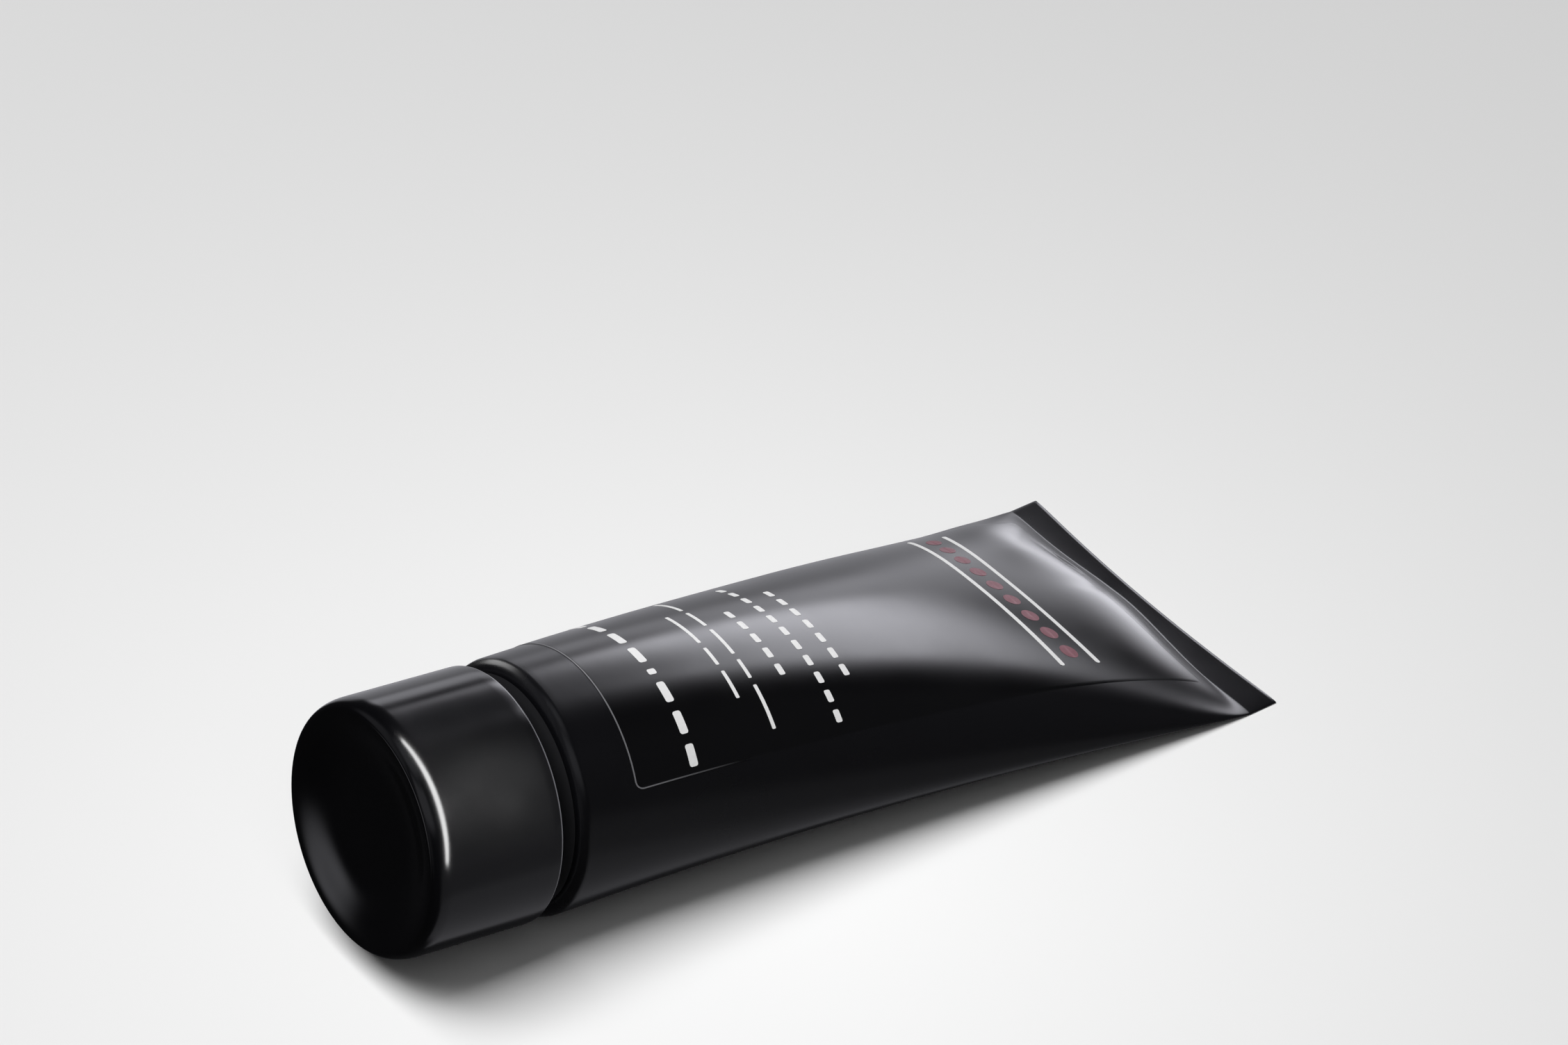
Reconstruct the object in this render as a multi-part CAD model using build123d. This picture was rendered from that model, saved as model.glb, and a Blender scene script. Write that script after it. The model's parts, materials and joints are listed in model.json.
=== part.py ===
from build123d import *

import os
from math import atan, cos, hypot, pi, sin, sqrt

# A squeeze tube of cream, lying on its side, with a wide round screw cap.
#
# The pieces are modelled in the tube's own frame: X runs along the axis from the
# cap's end face (0) to the welded tail, Y is sideways and Z is up, square to the axis.
# `lie_down` then tips the finished pieces so that the straight underside and the flat
# weld both rest on the floor, Z = 0.

# ---- driving dimensions, in millimetres ------------------------------------------

TUBE_RADIUS = 22.5  # a 45 mm tube
WALL = 0.5  # polyethylene sleeve
TUBE_LENGTH = 138.1  # shoulder to the middle of the tail edge
LIP_RADIUS = 2.2  # rounded corner between the shoulder and the sleeve
EARLY_FALL = 0.72  # the share of the upper side's fall that goes with the square of the way
LATE_POWER = 8  # the rest comes late, close to the weld
WELD_WIDTH = 5.5
WELD_THICKNESS = 2 * WALL
WELD_OVERLAP = 0.6  # how far the weld reaches in under the belly
TAIL_CORNER = 1.0
TAIL_HOLLOW = 1.75  # the tail edge is hollow: its corners reach further than its middle

CAP_LENGTH = 25.6
CAP_WALL = 1.2
CAP_CORNER = 1.4  # between the end wall and the side wall, inside
CAP_OPEN_ROUND = 0.4  # the open edge's outer round
RIM_LENGTH = 3.8  # the end's rim rolls over along an ellipse this long
RIM_DEPTH = 1.55  # and this deep
REST_RING = 0.4  # the flat at the rim's crest, on which the tube can stand
DISH_DEPTH = 2.2  # the hollow in the cap's end
DISH_FLAT = 8.0  # radius of its flat middle
END_WALL = 1.5
END_FLAT = 7.0  # radius of the end wall's flat middle, inside
END_EDGE = 2.2  # from there its inner side slopes out to this place along the axis
BEAD_HEIGHT = 0.35  # the snap bead that holds the core in
BEAD_WIDTH = 0.3  # at its crest
BEAD_SLOPE = 0.35  # along the axis, on its steep side
GROOVE = 3.7  # from the cap's open edge to the shoulder

THREAD_PITCH = 3.0
THREAD_TURNS = 1.75
THREAD_HEIGHT = 0.9
THREAD_ROOT_WIDTH = 1.6
THREAD_CREST_WIDTH = 0.7
THREAD_ROOTING = 0.3  # how far a thread is sunk into the wall that carries it
THREAD_START = 13.4
NECK_RADIUS = 7.85
NECK_BORE = 6.4
NECK_MOUTH = 11.35
NECK_BREAK = 0.3  # the mouth's outer edge is broken
NECK_FOOT = 25.4
NECK_FOOT_RADIUS = 8.6
NECK_FOOT_FLARE = 0.6  # how far above the foot the neck starts to widen
HEAD_WALL = 1.6
HEAD_INSIDE_RADIUS = 19.4  # where the shoulder's inner slope ends
HEAD_CORNER_RADIUS = 20.7  # and where its inner round meets the skirt
SKIRT_LENGTH = 3.0  # the head's skirt inside the sleeve
SKIRT_DRAFT = 0.6
SKIRT_EDGE = 0.8  # its thickness at the end
BOSS_BORE = 9.05
BOSS_RADIUS = 10.6
BOSS_END = 22.3

CORE_START = 4.2
CORE_END = 24.7
CORE_WALL = 1.0
CORE_CHAMFER = 0.8
CORE_FLOOR = 1.0  # the plate across the core
CORE_CLEARANCE = 0.05
CORE_DRAFT = 0.4  # the skirt is this much thicker at the plate
CORE_CORNER = 2.0  # the solid corner between plate and skirt
LINER_SEAT = 1.2  # the disc that backs the liner
STAND_OUTER = 6.0  # a ring between the plate and the cap's end wall
STAND_INNER = 4.5
RIB_COUNT = 6
RIB_END = 17.0
RIB_WIDTH = 1.0

LINER_RADIUS = 8.6
LINER_START = 9.9
LINER_THICKNESS = 1.18
SEAL_RADIUS = 7.7
SEAL_THICKNESS = 0.15
TAB_THICKNESS = 0.1
TAB_REACH = 0.4  # beyond the foil, to be gripped
TAB_FOLD = 0.8  # the tab is bonded along a line just above the middle

LABEL_START = 40.3
LABEL_END = 159.5
LABEL_NEAR_ARC = 25.5  # from the top centre line, measured round the tube
LABEL_FAR_ARC = 30.5
LABEL_THICKNESS = 0.12
LABEL_CORNER = 1.5

CREAM_END = 106.0  # about three quarters full, with air in the tail
CREAM_SHOULDER = 3.0  # how far in front of the shoulder's edge the cream reaches

# ---- values worked out from them ---------------------------------------------------

SHOULDER = CAP_LENGTH + GROOVE
BODY_START = SHOULDER + LIP_RADIUS
TAIL = SHOULDER + TUBE_LENGTH
BODY_LENGTH = TAIL - BODY_START
TILT = atan(TUBE_RADIUS / BODY_LENGTH)
WELD_START = 1 - WELD_WIDTH / BODY_LENGTH
TAIL_HALF_WIDTH = pi * TUBE_RADIUS / 2
LIP_CENTRE = TUBE_RADIUS - LIP_RADIUS
CREST_RADIUS = TUBE_RADIUS - RIM_DEPTH
CORE_RADIUS = TUBE_RADIUS - CAP_WALL - CORE_CLEARANCE


# ---- the shape of the sleeve ---------------------------------------------------------


def perimeter(width, upper, lower):
    """Round an oval made of two half ellipses with one half width and two half heights."""
    total = 0.0
    for height in (upper, lower):
        h = ((width - height) / (width + height)) ** 2
        total += pi * (width + height) * (1 + 3 * h / (10 + sqrt(4 - 3 * h))) / 2
    return total


def half_width(upper, lower):
    """The half width that keeps the sleeve's perimeter, because the sleeve doesn't stretch."""
    low, high = TUBE_RADIUS, TAIL_HALF_WIDTH + 1
    for _ in range(60):
        middle = (low + high) / 2
        if perimeter(middle, upper, lower) < 2 * pi * TUBE_RADIUS:
            low = middle
        else:
            high = middle
    return (low + high) / 2


def oval(share):
    """The sleeve's section at a share of the way from the shoulder to the tail.

    Returns its middle height, half width, upper half height and lower half height. The
    underside is a straight line, and the upper side is full until it drops to the weld.
    """
    bottom = -TUBE_RADIUS * (1 - share)
    weld_bottom = -TUBE_RADIUS * (1 - WELD_START)
    weld_top = weld_bottom + WELD_THICKNESS
    along = share / WELD_START
    middle = (weld_bottom + WELD_THICKNESS / 2) * along
    fall = EARLY_FALL * along**2 + (1 - EARLY_FALL) * along**LATE_POWER
    top = weld_top + (TUBE_RADIUS - weld_top) * (1 - fall)
    return middle, half_width(top - middle, middle - bottom), top - middle, middle - bottom


def station(share):
    return BODY_START + share * BODY_LENGTH


def share_at(place):
    return (place - BODY_START) / BODY_LENGTH


def section(share, grow=0.0):
    """The closed outline of the sleeve at a share of its length, grown outwards."""
    middle, width, upper, lower = oval(share)
    width, upper, lower = width + grow, upper + grow, lower + grow
    centre = (0, middle)
    quarters = []
    for height, start in ((upper, 0), (upper, 90), (lower, 180), (lower, 270)):
        quarters.append(EllipticalCenterArc(centre, width, height, start, arc_size=90))
    across = Plane(origin=(station(share), 0, 0), x_dir=(0, 1, 0), z_dir=(1, 0, 0))
    return across * make_face(Curve() + quarters)


def body_loft(shares, grow=0.0):
    return loft([section(share, grow) for share in shares])


OUTER_SHARES = (0, 0.12, 0.25, 0.4, 0.55, 0.7, 0.8, 0.87, 0.92, WELD_START)
INNER_SHARES = (0, 0.12, 0.25, 0.4, 0.55, 0.7, 0.8, 0.87, 0.91, 0.94)


def arc_side(share, arc):
    """How far sideways a point lies that is `arc` round the upper side from the top line."""
    _, width, upper, _ = oval(share)
    step = pi / 2 / 400
    angle, travelled = 0.0, 0.0
    while travelled < arc and angle < pi / 2:
        travelled += hypot(width * cos(angle), upper * sin(angle)) * step
        angle += step
    return width * sin(angle)


# ---- helpers --------------------------------------------------------------------------


def turned(*edges):
    """A solid turned about the tube's axis from edges drawn as (along, radius)."""
    return revolve(Plane.XZ * make_face(Curve() + list(edges)), Axis.X)


def ring(start, end, outer, inner):
    return turned(Polyline((start, inner), (start, outer), (end, outer), (end, inner), close=True))


def disc(start, end, radius):
    return turned(Polyline((start, 0), (start, radius), (end, radius), (end, 0), close=True))


def thread(start, radius, outward):
    """A right-hand thread ridge that stands out of, or into, a wall at this radius."""
    path = Helix(THREAD_PITCH, THREAD_PITCH * THREAD_TURNS, radius, direction=(1, 0, 0))
    path = Pos(start, 0, 0) * path
    origin = path @ 0
    away = Vector(0, origin.Y, origin.Z).normalized()
    if not outward:
        away = -away
    widening = (THREAD_ROOT_WIDTH - THREAD_CREST_WIDTH) / THREAD_HEIGHT
    foot = THREAD_ROOT_WIDTH + widening * THREAD_ROOTING
    outline = Polyline(
        (-THREAD_ROOTING, -foot / 2),
        (THREAD_HEIGHT, -THREAD_CREST_WIDTH / 2),
        (THREAD_HEIGHT, THREAD_CREST_WIDTH / 2),
        (-THREAD_ROOTING, foot / 2),
        close=True,
    )
    face = Plane(origin=origin, x_dir=away, z_dir=path % 0) * make_face(outline)
    return sweep(face, path=path, is_frenet=True)


def lie_down(piece):
    """Tip a piece from the tube's own frame so that its underside rests on the floor."""
    return Pos(0, 0, TAIL * sin(TILT)) * Rot(0, TILT * 180 / pi, 0) * piece


def on_floor(place):
    """Where a point of the underside, at this distance along the axis, lies on the floor."""
    height = -TUBE_RADIUS * (TAIL - place) / BODY_LENGTH
    return place * cos(TILT) + height * sin(TILT)


# ---- the tube ----------------------------------------------------------------------------


def rolled_lip():
    """The sleeve's front edge, rolled in over the shoulder's round corner."""
    inner_round = LIP_RADIUS - WALL
    outer = RadiusArc((SHOULDER, LIP_CENTRE), (BODY_START, TUBE_RADIUS), LIP_RADIUS)
    inner = RadiusArc((SHOULDER + WALL, LIP_CENTRE), (BODY_START, TUBE_RADIUS - WALL), inner_round)
    end = Line((BODY_START, TUBE_RADIUS), (BODY_START, TUBE_RADIUS - WALL))
    edge = Line((SHOULDER, LIP_CENTRE), (SHOULDER + WALL, LIP_CENTRE))
    return turned(outer, end, inner, edge)


def weld():
    """The flat welded tail, which lies on the floor. Its edge is a shallow hollow arc."""
    start, middle = on_floor(station(WELD_START)) - WELD_OVERLAP, on_floor(TAIL)
    corner = middle + TAIL_HOLLOW
    w = TAIL_HALF_WIDTH
    outline = Polyline((corner, -w), (start, -w), (start, w), (corner, w))
    tail_edge = ThreePointArc((corner, w), (middle, 0), (corner, -w))
    plate = extrude(make_face(outline + tail_edge), WELD_THICKNESS)
    return fillet(plate.edges().filter_by(Axis.Z).group_by(Axis.X)[-1], TAIL_CORNER)


def make_sleeve():
    skin = body_loft(OUTER_SHARES) - body_loft(INNER_SHARES, -WALL)
    return lie_down(rolled_lip() + skin) + weld()


def make_head():
    """Shoulder and threaded neck in one moulding, with a short skirt inside the sleeve."""
    slope = (SHOULDER - NECK_FOOT) / (LIP_CENTRE - NECK_FOOT_RADIUS)

    def inner_slope(radius):
        return (NECK_FOOT + (radius - NECK_FOOT_RADIUS) * slope + HEAD_WALL, radius)

    skirt_end = BODY_START + SKIRT_LENGTH
    skirt_radius = TUBE_RADIUS - WALL - SKIRT_DRAFT
    profile = Polyline(
        (BODY_START, TUBE_RADIUS - WALL),
        (skirt_end, skirt_radius),
        (skirt_end, skirt_radius - SKIRT_EDGE),
        (BODY_START + 0.2, HEAD_CORNER_RADIUS),
        inner_slope(HEAD_INSIDE_RADIUS),
        inner_slope(NECK_BORE),
        (NECK_MOUTH, NECK_BORE),
        (NECK_MOUTH, NECK_RADIUS - NECK_BREAK),
        (NECK_MOUTH + NECK_BREAK, NECK_RADIUS),
        (NECK_FOOT - NECK_FOOT_FLARE, NECK_RADIUS),
        (NECK_FOOT, NECK_FOOT_RADIUS),
        (SHOULDER, LIP_CENTRE),
        (SHOULDER + WALL, LIP_CENTRE),
    )
    corner_start, corner_end = (SHOULDER + WALL, LIP_CENTRE), (BODY_START, TUBE_RADIUS - WALL)
    corner = RadiusArc(corner_start, corner_end, LIP_RADIUS - WALL)
    return turned(profile, corner) + thread(THREAD_START, NECK_RADIUS, outward=True)


def make_peel_seal():
    """Foil bonded to the neck's mouth, with a half-round lifting tab on top of it."""
    foil_start = NECK_MOUTH - SEAL_THICKNESS
    foil = disc(foil_start, NECK_MOUTH, SEAL_RADIUS)
    tab = disc(foil_start - TAB_THICKNESS, foil_start, SEAL_RADIUS + TAB_REACH)
    side = 4 * SEAL_RADIUS
    upper_half = Pos(NECK_MOUTH, 0, TAB_FOLD + side / 2) * Box(side, side, side)
    return foil + (tab & upper_half)


def make_label():
    """A thin laminated label. Its sides keep one distance round the tube from the top line."""
    first, last = share_at(LABEL_START), share_at(LABEL_END)
    steps = 6
    near, far = [], []
    for n in range(steps + 1):
        share = first + (last - first) * n / steps
        near.append((station(share), -arc_side(share, LABEL_NEAR_ARC)))
        far.append((station(share), arc_side(share, LABEL_FAR_ARC)))
    sides = [Spline(*near), Spline(*far), Line(near[0], far[0]), Line(near[-1], far[-1])]
    plan = make_face(Curve() + sides)
    plan = fillet(plan.vertices(), LABEL_CORNER)
    cutter = extrude(plan, 2 * TUBE_RADIUS)
    return (body_loft(OUTER_SHARES, LABEL_THICKNESS) & cutter) - body_loft(OUTER_SHARES)


def make_cream(head):
    """What the tube holds, from the neck's mouth to the air space in the tail."""
    length = CREAM_END - BODY_START
    breadth = 4 * TUBE_RADIUS
    reach = Pos(BODY_START + length / 2, 0, 0) * Box(length, breadth, breadth)
    main = body_loft(INNER_SHARES, -WALL) & reach
    in_neck = disc(NECK_MOUTH, BODY_START, NECK_BORE)
    in_shoulder = disc(SHOULDER - CREAM_SHOULDER, BODY_START, TUBE_RADIUS - 3 * WALL)
    whole = main + in_neck + in_shoulder - head
    # the cone's outer side cuts off what lies in front of the shoulder
    return whole.solids().sort_by(SortBy.VOLUME)[-1]


# ---- the cap -------------------------------------------------------------------------------


def make_cap_shell():
    """The glossy outer cup, with a dished end and a snap bead that holds the core in."""
    inside = TUBE_RADIUS - CAP_WALL
    end_inside = DISH_DEPTH + END_WALL
    bead_start = CORE_END + CORE_CLEARANCE
    bead_crest = bead_start + BEAD_SLOPE
    rim_centre = (RIM_LENGTH, CREST_RADIUS)
    rim = EllipticalCenterArc(rim_centre, RIM_LENGTH, RIM_DEPTH, 90, arc_size=90)
    ring_start = CREST_RADIUS - REST_RING
    rest = Line((0, CREST_RADIUS), (0, ring_start))
    outwards = (0, 1)
    slope = Spline((DISH_DEPTH, DISH_FLAT), (0, ring_start), tangents=(outwards, outwards))
    side = Polyline(
        (RIM_LENGTH, TUBE_RADIUS),
        (CAP_LENGTH - CAP_OPEN_ROUND, TUBE_RADIUS),
        (CAP_LENGTH, TUBE_RADIUS - CAP_OPEN_ROUND),
        (CAP_LENGTH, inside),
        (bead_crest + BEAD_WIDTH, inside - BEAD_HEIGHT),
        (bead_crest, inside - BEAD_HEIGHT),
        (bead_start, inside),
        (END_EDGE + CAP_CORNER, inside),
        (END_EDGE, inside - CAP_CORNER),
        (end_inside, END_FLAT),
        (end_inside, 0),
        (DISH_DEPTH, 0),
        (DISH_DEPTH, DISH_FLAT),
    )
    return turned(rim, side, slope, rest)


def make_cap_core():
    """The inner cup, with the threaded boss that grips the neck and ribs around the boss."""
    plate_end = CORE_START + CORE_FLOOR
    plate_radius = CORE_RADIUS - CORE_CHAMFER
    skirt_inside = CORE_RADIUS - CORE_WALL
    core = disc(CORE_START, plate_end, plate_radius)
    skirt = Polyline(
        (CORE_START, CORE_RADIUS - CORE_CORNER),
        (CORE_START, plate_radius),
        (CORE_START + CORE_CHAMFER, CORE_RADIUS),
        (CORE_END, CORE_RADIUS),
        (CORE_END, skirt_inside),
        (plate_end, skirt_inside - CORE_DRAFT),
        (plate_end, CORE_RADIUS - CORE_CORNER),
        close=True,
    )
    core += turned(skirt)
    core += ring(plate_end, BOSS_END, BOSS_RADIUS, BOSS_BORE)
    core += disc(LINER_START - LINER_SEAT, LINER_START, BOSS_BORE)
    core += ring(DISH_DEPTH + END_WALL, CORE_START, STAND_OUTER, STAND_INNER)
    # each rib runs a little into the boss and into the skirt
    rib_sink = 0.1
    rib_start, rib_reach = BOSS_RADIUS - rib_sink, skirt_inside + 2 * rib_sink
    rib = Box(RIB_END - plate_end, RIB_WIDTH, rib_reach - rib_start)
    rib = Pos((plate_end + RIB_END) / 2, 0, (rib_start + rib_reach) / 2) * rib
    for n in range(RIB_COUNT):
        core += Rot(360 * n / RIB_COUNT, 0, 0) * rib
    start = THREAD_START + THREAD_PITCH / 2
    return core + thread(start, BOSS_BORE, outward=False)


def make_cap_liner():
    return disc(LINER_START, LINER_START + LINER_THICKNESS, LINER_RADIUS)


# ---- put together ------------------------------------------------------------------------------


def all_pieces():
    head = make_head()
    in_tube_frame = {
        "head": head,
        "peel_seal": make_peel_seal(),
        "front_label": make_label(),
        "cream": make_cream(head),
        "cap_shell": make_cap_shell(),
        "cap_core": make_cap_core(),
        "cap_liner": make_cap_liner(),
    }
    pieces = {"sleeve": make_sleeve()}
    for name, piece in in_tube_frame.items():
        pieces[name] = lie_down(piece)
    return pieces


def middle_of_length():
    """Halfway between the cap's foremost point and the tail's corners, on the floor."""
    along, down = RIM_LENGTH * cos(TILT), RIM_DEPTH * sin(TILT)
    front = along - CREST_RADIUS * sin(TILT) - hypot(along, down)
    back = on_floor(TAIL) + TAIL_HOLLOW
    return (front + back) / 2


os.makedirs("parts", exist_ok=True)
shift = Pos(-middle_of_length(), 0, 0)
for name, piece in all_pieces().items():
    export_step(shift * piece, f"parts/{name}.step")
print("tilt", TILT * 180 / pi, "origin at", middle_of_length(), "along from the cap's end")
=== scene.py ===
import json
from math import cos, pi, radians, sin, sqrt

import bpy
import numpy as np
from mathutils import Matrix, Vector


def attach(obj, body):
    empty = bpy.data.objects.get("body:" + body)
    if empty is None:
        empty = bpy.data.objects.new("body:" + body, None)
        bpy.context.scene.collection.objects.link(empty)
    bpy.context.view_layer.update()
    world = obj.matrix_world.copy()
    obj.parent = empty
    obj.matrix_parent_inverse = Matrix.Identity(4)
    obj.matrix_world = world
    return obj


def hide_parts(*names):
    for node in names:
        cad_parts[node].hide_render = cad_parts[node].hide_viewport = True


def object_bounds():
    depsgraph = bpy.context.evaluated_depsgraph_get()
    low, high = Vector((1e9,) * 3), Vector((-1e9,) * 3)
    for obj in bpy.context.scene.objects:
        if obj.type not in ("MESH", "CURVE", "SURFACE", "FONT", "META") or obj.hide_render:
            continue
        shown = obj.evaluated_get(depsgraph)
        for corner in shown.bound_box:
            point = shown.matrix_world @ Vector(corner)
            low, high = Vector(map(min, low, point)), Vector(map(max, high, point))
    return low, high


# A black squeeze tube of cream, lying on its side, with a wide glossy screw cap.
#
# The shapes are worked out in the tube's own frame, in millimetres: s runs along the axis from
# the cap's end face, y is sideways and z is up, square to the axis. `Tube.place` turns such
# points into the row frame, in metres. The axis, the ends and the radius come from the frame.

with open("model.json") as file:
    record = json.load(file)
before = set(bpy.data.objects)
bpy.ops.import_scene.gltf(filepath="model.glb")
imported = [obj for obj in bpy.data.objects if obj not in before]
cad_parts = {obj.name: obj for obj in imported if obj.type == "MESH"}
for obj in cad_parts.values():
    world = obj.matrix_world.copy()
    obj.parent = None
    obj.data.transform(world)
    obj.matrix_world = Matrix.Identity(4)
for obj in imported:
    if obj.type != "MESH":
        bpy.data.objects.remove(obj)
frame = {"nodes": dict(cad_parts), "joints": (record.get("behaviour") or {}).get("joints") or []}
cad_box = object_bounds()

MM = 0.001

# ---- sizes that the frame doesn't say, in millimetres ---------------------------------------

WALL = 0.5
LIP_RADIUS = 2.2  # rounded corner between the shoulder and the sleeve
EARLY_FALL = 0.72  # the share of the upper side's fall that goes with the square of the way
LATE_POWER = 8  # the rest comes late, close to the weld
WELD_WIDTH = 5.5
WELD_THICKNESS = 1.0
TAIL_HOLLOW = 1.75  # the tail's corners reach further than its middle
INNER_END = 0.935  # the share of the sleeve's length where its hollow ends
HOLLOW_LEAST = 0.05  # half the height of the hollow where it closes
TAIL_EDGE = 0.7  # the thickness left at the broken tail edge, as a share
TAIL_BREAK = 0.003  # and the share of the length that the break takes
SLEEVE_RINGS = ((0, 0.7, 90), (0.7, 0.9, 60), (0.9, 0.985, 70))  # from, to, how many
HOLLOW_RINGS = 24
TAIL_RINGS = 6

CAP_WALL = 1.2
END_WALL = 1.5
END_FLAT = 7.0  # radius of the end wall's flat middle, inside
INNER_CORNER = ((3.4, 0), (2.6, 1.2))  # along the axis, and in from the side wall
INNER_BREAK = 0.1  # the open edge's inner corner is broken
ROLL_LENGTH = 3.8  # the rounded rim's reach along the cap and across it
ROLL_DEPTH = 1.55
DISH_FLAT = 8.0  # radius of the dish's nearly flat middle
DISH_DEPTH = 2.2
DISH_POWER = 1.5  # puts the steep part of the dish nearer to the rim
DISH_RINGS = 70
EDGE_ROUND = 0.5

LABEL_NEAR_ARC = -25.5  # from the top line, measured round the sleeve
LABEL_FAR_ARC = 30.5
LABEL_THICKNESS = 0.1
LABEL_FLUSH = 0.65  # the share of it that sinks into the skin towards the tail
FLUSH_RANGE = (55, 90)  # where along the tube it sinks
LABEL_BEVEL = 0.3
LABEL_CORNER = 1.5
LABEL_SINK = 0.02  # how far the label and its edge reach into the skin
LABEL_EDGE_WIDTH = 0.22  # the film's cut edge, whose colour carries a painted highlight: a thin paler line near the label's front
BORDER_LIFT = 0.11
BORDER_REACH = 24  # how far it runs along the label's sides
BORDER_STEPS = 120
CORNER_STEPS = 7

PRINT_LIFT = 0.03
PRINT_SINK = 0.03
PRINT_STEP = 0.4
MARK_ROUNDING = 0.28  # of a bar's shorter side

# Plain bars in place of the printed lines: place along the tube, far end and near end by arc,
# the bars' size along the tube, their widths, and the gap. The last two are scaled to fit.
PRINT_ROWS = (
    (87.2, 10.0, -15.3, 1.2, [2.2] * 7, 1.4),
    (81.6, 16.5, -23.2, 1.2, [2.2] * 11, 1.4),
    (75.2, 5.2, -12.6, 1.2, [2.2] * 5, 1.4),
    (68.8, 17.5, -21.6, 0.7, [6, 4, 5, 3, 6], 1.0),
    (64.5, 7.8, -14.9, 0.7, [7, 3, 4], 1.0),
    (51.9, 18.5, -24.2, 1.6, [3.4, 3.4, 3.4, 3.4, 1.0, 3.4, 3.4, 3.2], 1.5),
)
PRINT_BOW = 2.0  # how far the rules and the dots curve towards the cap in their middle
BOW_MIDDLE = 2.6  # the arc at the middle of the bowed print
BOW_REACH = 23.2  # and half its width
RULE_PLACES = (130.9, 138.9)
RULE_SIZE = (0.95, 46.5)  # along the tube and round it
RULE_CORNER = 0.45
DOT_PLACE = 134.9
DOT_ARCS = (-17.5, 22.7)
DOT_COUNT = 9
DOT_SIZE = 3.2

RING_POINTS = 256  # round the sleeve and the cap
SHARP_DEGREES = 28  # edges sharper than this are shown sharp

# ---- how the belly comes down to the weld ---------------------------------------------------
#
# Ranges are shares of the sleeve's length, or sines of the angle from the top: 0 is the top
# line, 1 the far fold and -1 the near one.

WELD_FILLET = 0.45  # how softly the belly runs into the weld, in mm
FILLET_SHARES = (0.8, 0.95)
FILLET_LOSS = 0.6  # how much sharper the change is on the near flank
FILLET_LOSS_SIDE = (0.4, 0.9)
WELD_SHARES = (0.6, 0.85)  # where the folds take on the weld's thickness
WELD_SQUARENESS = 14
WAVE = 0.018  # how much later the belly comes down to the weld in its middle, as a share
WAVE_MIDDLE = 0.05
WAVE_REACH = 0.45
EARLY = 0.003  # and how much sooner on its near flank
EARLY_SIDE = (0.3, 0.9)
WAVE_SHARES = (0.75, 0.93)
FLANK_WIDTH = 4.0  # width of the far flank at the weld, in mm
FLANK_SPREAD = 0.8  # and how much wider it gets away from it, per mm
FLANK_STEEPNESS = 0.75
FLANK_FULLNESS = 0.4
FULL_SHARES = (0.5, 0.93)
FAR_BULGE = 0.12  # the far flank is a little fuller just before the tail
BULGE_MIDDLE = 0.87
BULGE_REACH = 0.05
BULGE_SIDE = (0, 0.8)
FAR_SIDE = (0, 0.5)  # where the far flank's shape takes over from a plain oval

# Small folds where the belly is pinched: place along and across the tube, turn in degrees, and
# the length, width and height of each fold.
CREASES = (
    (161.0, 14.5, 100, 4.0, 0.9, 0.25),
    (159.5, 16.5, 100, 4.0, 1.0, -0.2),
    (157.0, 5.0, 15, 6.0, 2.5, -0.15),
)

# ---- floor, light and camera, in metres -----------------------------------------------------

FLOOR_RADIUS = 3.5
FLOOR_POINTS = 96
# The floor's colour carries a painted pool of light: FLOOR_NEAR at its middle, FLOOR_FAR towards
# its rim.
FLOOR_GLOW_SCALE = 3  # the glow's radius is one over this
FLOOR_GLOW_SHIFT = (0.02, 0.05, 0)
FLOOR_FAR = (0.67, 0.67, 0.67)
FLOOR_NEAR = (0.93, 0.93, 0.93)
BACKDROP = 0.62  # what the camera sees beyond the floor
REFLECTION_TINT = (0.93, 0.93, 1.0)

# The soft panels in the reflections. Centre (azimuth, elevation), size, softness and turn are in
# degrees: centre, size, radiance, softness, turn.
PANELS = (
    ((0, 0), (400, 190), 0.018, 1, 0),  # the dark room
    ((31.5, 26.5), (38, 13), 6.4, 3.5, -32),  # big softbox behind the tail
    ((14, 39), (10, 8), 1.6, 5, 0),  # and the dimmer end of it
    ((54, 7), (16, 12), 1.5, 3, 0),  # pale horizon behind
    ((57, -18), (30, 34), 0.55, 5, 0),  # the pale floor behind
    ((42, -1), (13, 18), 0.9, 4, 0),  # the floor where the softbox lights it
    ((38, -20), (18, 20), 2.3, 4, 0),  # and where it is brightest
    ((31, -11), (15, 20), 1.5, 4, 0),  # and close to the tube
    ((-42, 22), (60, 50), 0.07, 6, 0),  # dim fill to the right
    ((-70, -22), (50, 34), 0.18, 6, 0),  # the floor in front
    ((158, -6), (30, 14), 1.1, 6, 0),  # the lit far edge of the floor at the left
    ((-130, 45), (70, 36), 0.5, 8, 0),  # soft light over the cap's end
    ((135, 45), (85, 40), 0.22, 10, 0),  # and its spill
    ((-160, 15), (40, 40), 0.12, 10, 0),  # and a little from straight ahead
    ((0, 86), (400, 28), 0.5, 8, 0),  # pale ceiling
    ((-35, -58), (110, 40), 0.27, 5, 0),  # the floor beside the tube
)

# Lamps that light everything: name, place, side and watts.
LAMPS = (
    ("lamp_top", (-0.8, 0.2, 2.2), 1.6, 66),
    ("lamp_front", (-0.5, -0.65, 0.9), 0.9, 2),
)
STRIP_WAY = (0.316, -0.604, 0.415)  # from the cap's end face to the strip light
STRIP_NEARNESS = 0.5
STRIP_ALONG = (0.182, 0.738, 0.935)  # the way the strip runs
STRIP_SHIFT = 0.08
STRIP_SIZE = (0.08, 1.1)
STRIP_WATTS = 6.2
LIP_LAMP_MM = 40  # the place on the axis that it is set out from
LIP_LAMP_WAY = (-0.033, 0.95, 0.309)
LIP_LAMP_DISTANCE = 0.6
LIP_LAMP_SIZE = (0.3, 0.3)
LIP_LAMP_WATTS = 1.0

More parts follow.
